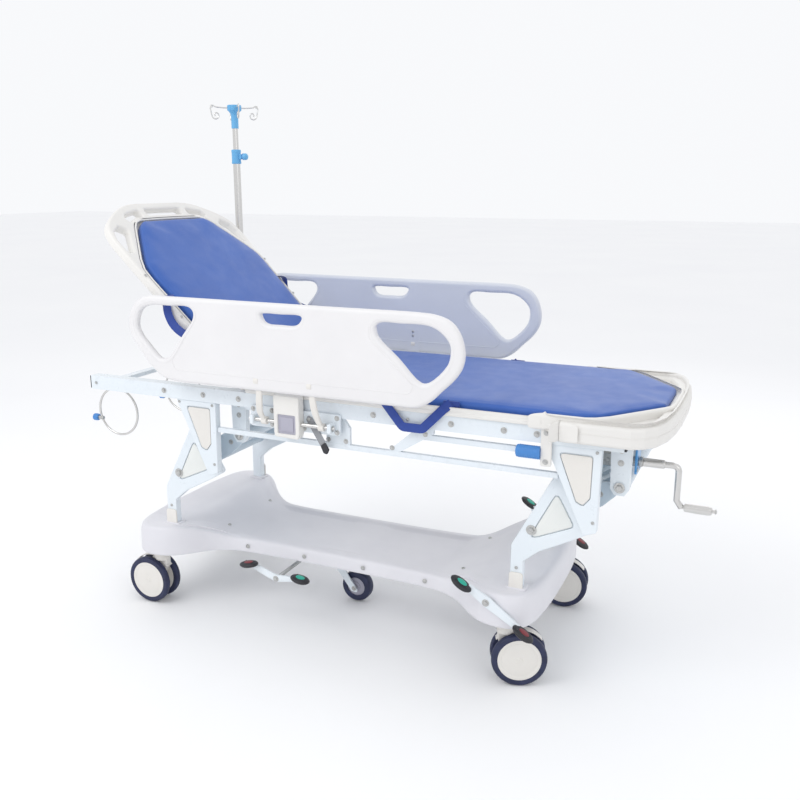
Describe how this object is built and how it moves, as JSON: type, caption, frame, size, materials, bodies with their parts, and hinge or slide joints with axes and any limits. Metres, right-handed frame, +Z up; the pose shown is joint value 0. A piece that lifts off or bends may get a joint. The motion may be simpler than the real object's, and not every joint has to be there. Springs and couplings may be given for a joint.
{
  "type": "hospital stretcher trolley",
  "caption": "Hospital stretcher trolley with crank-raised bed, hinged backrest, thin blue pad, fold-down side rails, infusion pole, cylinder rings, waisted base cover and lockable twin-wheel castors.",
  "frame": {"origin": "centre of the bounding box at floor level, with the backrest raised and the rails up", "axes": "+X to the foot end, -Y to the near side (the side with the crank axis nearer to it), +Z up"},
  "size_m": [1.897, 0.771, 1.565],
  "materials": {
    "frame_paint": "satin",
    "arm_paint": "satin",
    "blue_paint": "satin",
    "abs_grey": "satin",
    "pp_white": "satin",
    "grey_plastic": "satin",
    "blue_plastic": "satin",
    "black_plastic": "matte",
    "steel": "polished",
    "tyre": "matte",
    "pad_fabric": "matte"
  },
  "bodies": {
    "base": {"base_frame": "frame_paint", "base_cover": "abs_grey", "lower_leg_head": "frame_paint", "lower_leg_foot": "frame_paint", "fifth_bracket": "frame_paint", "panel_lower_head_near": "pp_white", "panel_lower_head_far": "pp_white", "panel_lower_foot_near": "pp_white", "panel_lower_foot_far": "pp_white"},
    "lift_arm_head": {"lift_arm_head": "arm_paint"},
    "lift_arm_foot": {"lift_arm_foot": "arm_paint"},
    "bed": {"bed_frame": "frame_paint", "foot_board": "pp_white", "pad_foot": "pad_fabric", "hand_grip": "blue_plastic", "crank_bracket": "blue_paint", "pole_tube": "steel", "pole_clamp": "blue_plastic", "rail_housing_near": "grey_plastic", "rail_housing_far": "grey_plastic", "cylinder_ring_near": "steel", "cylinder_ring_far": "steel", "upper_leg_head_near": "frame_paint", "upper_leg_head_far": "frame_paint", "upper_leg_foot_near": "frame_paint", "upper_leg_foot_far": "frame_paint", "panel_upper_head_near": "pp_white", "panel_upper_head_far": "pp_white", "panel_upper_foot_near": "pp_white", "panel_upper_foot_far": "pp_white"},
    "backrest": {"backrest_board": "pp_white", "pad_back": "pad_fabric"},
    "backrest_handle": {"backrest_handle": "steel"},
    "gas_spring_cylinder": {"gas_spring_cylinder": "black_plastic"},
    "gas_spring_rod": {"gas_spring_rod": "steel"},
    "crank_handle": {"crank_handle": "steel"},
    "crank_grip": {"crank_grip": "steel"},
    "lift_nut": {"lift_nut": "steel"},
    "pole_knob": {"pole_knob": "blue_plastic"},
    "lock_pedal": {"lock_pedal": "black_plastic"},
    "fifth_arm": {"fifth_arm": "frame_paint"},
    "fifth_wheel": {"fifth_wheel": "tyre"},
    "cylinder_knob_near": {"cylinder_knob_near": "blue_plastic"},
    "cylinder_knob_far": {"cylinder_knob_far": "blue_plastic"},
    "pole_upper": {"pole_rod": "steel", "pole_head": "blue_plastic"},
    "rail_near": {"rail_near": "pp_white"},
    "rail_arm_near": {"rail_arm_near": "pp_white"},
    "rail_lever_near": {"rail_lever_near": "black_plastic"},
    "rail_far": {"rail_far": "pp_white"},
    "rail_arm_far": {"rail_arm_far": "pp_white"},
    "rail_lever_far": {"rail_lever_far": "black_plastic"},
    "castor_fork_head_near": {"castor_fork_head_near": "pp_white"},
    "castor_wheel_head_near": {"castor_wheel_head_near": "tyre"},
    "castor_fork_head_far": {"castor_fork_head_far": "pp_white"},
    "castor_wheel_head_far": {"castor_wheel_head_far": "tyre"},
    "castor_fork_foot_near": {"castor_fork_foot_near": "pp_white"},
    "castor_wheel_foot_near": {"castor_wheel_foot_near": "tyre"},
    "castor_fork_foot_far": {"castor_fork_foot_far": "pp_white"},
    "castor_wheel_foot_far": {"castor_wheel_foot_far": "tyre"}
  },
  "joints": [
    {"name": "castor_swivel_head_near", "type": "hinge", "parent": "base", "child": "castor_fork_head_near", "pos_m": [-0.681, -0.276, 0.16], "axis": [0, 0, 1], "continuous": true},
    {"name": "castor_roll_head_near", "type": "hinge", "parent": "castor_fork_head_near", "child": "castor_wheel_head_near", "pos_m": [-0.716, -0.276, 0.075], "axis": [0, -1, 0], "continuous": true},
    {"name": "castor_swivel_head_far", "type": "hinge", "parent": "base", "child": "castor_fork_head_far", "pos_m": [-0.681, 0.224, 0.16], "axis": [0, 0, 1], "continuous": true},
    {"name": "castor_roll_head_far", "type": "hinge", "parent": "castor_fork_head_far", "child": "castor_wheel_head_far", "pos_m": [-0.71566, 0.22887, 0.075], "axis": [-0.1392, -0.9903, 0], "continuous": true},
    {"name": "castor_swivel_foot_near", "type": "hinge", "parent": "base", "child": "castor_fork_foot_near", "pos_m": [0.459, -0.276, 0.16], "axis": [0, 0, 1], "continuous": true},
    {"name": "castor_roll_foot_near", "type": "hinge", "parent": "castor_fork_foot_near", "child": "castor_wheel_foot_near", "pos_m": [0.49145, -0.26289, 0.075], "axis": [-0.3746, 0.9272, 0], "continuous": true},
    {"name": "castor_swivel_foot_far", "type": "hinge", "parent": "base", "child": "castor_fork_foot_far", "pos_m": [0.459, 0.224, 0.16], "axis": [0, 0, 1], "continuous": true},
    {"name": "castor_roll_foot_far", "type": "hinge", "parent": "castor_fork_foot_far", "child": "castor_wheel_foot_far", "pos_m": [0.49366, 0.22887, 0.075], "axis": [-0.1392, 0.9903, 0], "continuous": true},
    {"name": "lift_head", "type": "hinge", "parent": "base", "child": "lift_arm_head", "pos_m": [-0.595, -0.026, 0.441], "axis": [0, -1, 0], "range_deg": [-31, 33]},
    {"name": "lift_foot", "type": "hinge", "parent": "base", "child": "lift_arm_foot", "pos_m": [0.517, -0.026, 0.441], "axis": [0, -1, 0], "range_deg": [-31, 33]},
    {"name": "bed_level", "type": "hinge", "parent": "lift_arm_head", "child": "bed", "pos_m": [-0.385, -0.026, 0.577], "axis": [0, -1, 0], "range_deg": [-33, 31]},
    {"name": "crank_turn", "type": "hinge", "parent": "bed", "child": "crank_handle", "pos_m": [0.755, -0.166, 0.625], "axis": [1, 0, 0], "range_deg": [-1240, 1320]},
    {"name": "crank_grip_spin", "type": "hinge", "parent": "crank_handle", "child": "crank_grip", "pos_m": [0.9075, -0.166, 0.52], "axis": [1, 0, 0], "continuous": true},
    {"name": "lift_nut_slide", "type": "slide", "parent": "bed", "child": "lift_nut", "axis": [1, 0, 0], "range_m": [-0.0278, 0.0262]},
    {"name": "backrest_hinge", "type": "hinge", "parent": "bed", "child": "backrest", "pos_m": [-0.331, -0.026, 0.742], "axis": [0, 1, 0], "range_deg": [-44.5, 27.5]},
    {"name": "backrest_release", "type": "hinge", "parent": "backrest", "child": "backrest_handle", "pos_m": [-0.70585, -0.026, 1.07391], "axis": [0, -1, 0], "range_deg": [0, 12], "stiffness_Nm_per_rad": 3, "springref_deg": -20.05},
    {"name": "gas_spring_pivot", "type": "hinge", "parent": "bed", "child": "gas_spring_cylinder", "pos_m": [-0.351, -0.026, 0.674], "axis": [0, 1, 0], "range_deg": [-43.4, 27.6]},
    {"name": "gas_spring_slide", "type": "slide", "parent": "gas_spring_cylinder", "child": "gas_spring_rod", "axis": [-0.6664, 0, 0.7456], "range_m": [-0.0502, 0.0318]},
    {"name": "rail_arm_fold_near", "type": "hinge", "parent": "bed", "child": "rail_arm_near", "pos_m": [-0.1485, -0.341, 0.665], "axis": [1, 0, 0], "range_deg": [0, 150]},
    {"name": "rail_upright_near", "type": "hinge", "parent": "rail_arm_near", "child": "rail_near", "pos_m": [-0.1485, -0.371, 0.785], "axis": [1, 0, 0], "range_deg": [-150, 0]},
    {"name": "rail_release_near", "type": "hinge", "parent": "bed", "child": "rail_lever_near", "pos_m": [-0.099, -0.3277, 0.68], "axis": [0, -1, 0], "range_deg": [0, 20], "stiffness_Nm_per_rad": 1, "springref_deg": -17.19},
    {"name": "rail_arm_fold_far", "type": "hinge", "parent": "bed", "child": "rail_arm_far", "pos_m": [-0.1485, 0.289, 0.665], "axis": [-1, 0, 0], "range_deg": [0, 150]},
    {"name": "rail_upright_far", "type": "hinge", "parent": "rail_arm_far", "child": "rail_far", "pos_m": [-0.1485, 0.319, 0.785], "axis": [-1, 0, 0], "range_deg": [-150, 0]},
    {"name": "rail_release_far", "type": "hinge", "parent": "bed", "child": "rail_lever_far", "pos_m": [-0.099, 0.2757, 0.68], "axis": [0, -1, 0], "range_deg": [0, 20], "stiffness_Nm_per_rad": 1, "springref_deg": -17.19},
    {"name": "pole_height", "type": "slide", "parent": "bed", "child": "pole_upper", "axis": [0, 0, 1], "range_m": [-0.075, 0.45]},
    {"name": "pole_knob_turn", "type": "hinge", "parent": "bed", "child": "pole_knob", "pos_m": [-0.716, 0.324, 1.392], "axis": [1, 0, 0], "range_deg": [-180, 180]},
    {"name": "cylinder_knob_turn_near", "type": "hinge", "parent": "bed", "child": "cylinder_knob_near", "pos_m": [-0.9385, -0.241, 0.572], "axis": [1, 0, 0], "range_deg": [-180, 180]},
    {"name": "cylinder_knob_turn_far", "type": "hinge", "parent": "bed", "child": "cylinder_knob_far", "pos_m": [-0.9385, 0.084, 0.572], "axis": [1, 0, 0], "range_deg": [-180, 180]},
    {"name": "lock_pedal_rock", "type": "hinge", "parent": "base", "child": "lock_pedal", "pos_m": [0.421, -0.026, 0.247], "axis": [0, 1, 0], "range_deg": [-64, 0]},
    {"name": "fifth_wheel_lift", "type": "hinge", "parent": "base", "child": "fifth_arm", "pos_m": [-0.251, -0.026, 0.16], "axis": [0, -1, 0], "range_deg": [0, 18]},
    {"name": "fifth_wheel_roll", "type": "hinge", "parent": "fifth_arm", "child": "fifth_wheel", "pos_m": [-0.111, -0.026, 0.053], "axis": [0, 1, 0], "continuous": true}
  ],
  "couplings": [
    {"joint": "lift_foot", "follows": "lift_head", "ratio": 1},
    {"joint": "bed_level", "follows": "lift_head", "ratio": -1},
    {"joint": "crank_turn", "follows": "lift_head", "ratio": 40},
    {"joint": "lift_nut_slide", "follows": "lift_head", "m_per_rad": -0.048},
    {"joint": "gas_spring_pivot", "follows": "backrest_hinge", "ratio": 0.93},
    {"joint": "gas_spring_slide", "follows": "backrest_hinge", "m_per_rad": 0.062},
    {"joint": "rail_upright_near", "follows": "rail_arm_fold_near", "ratio": -1},
    {"joint": "rail_upright_far", "follows": "rail_arm_fold_far", "ratio": -1}
  ]
}
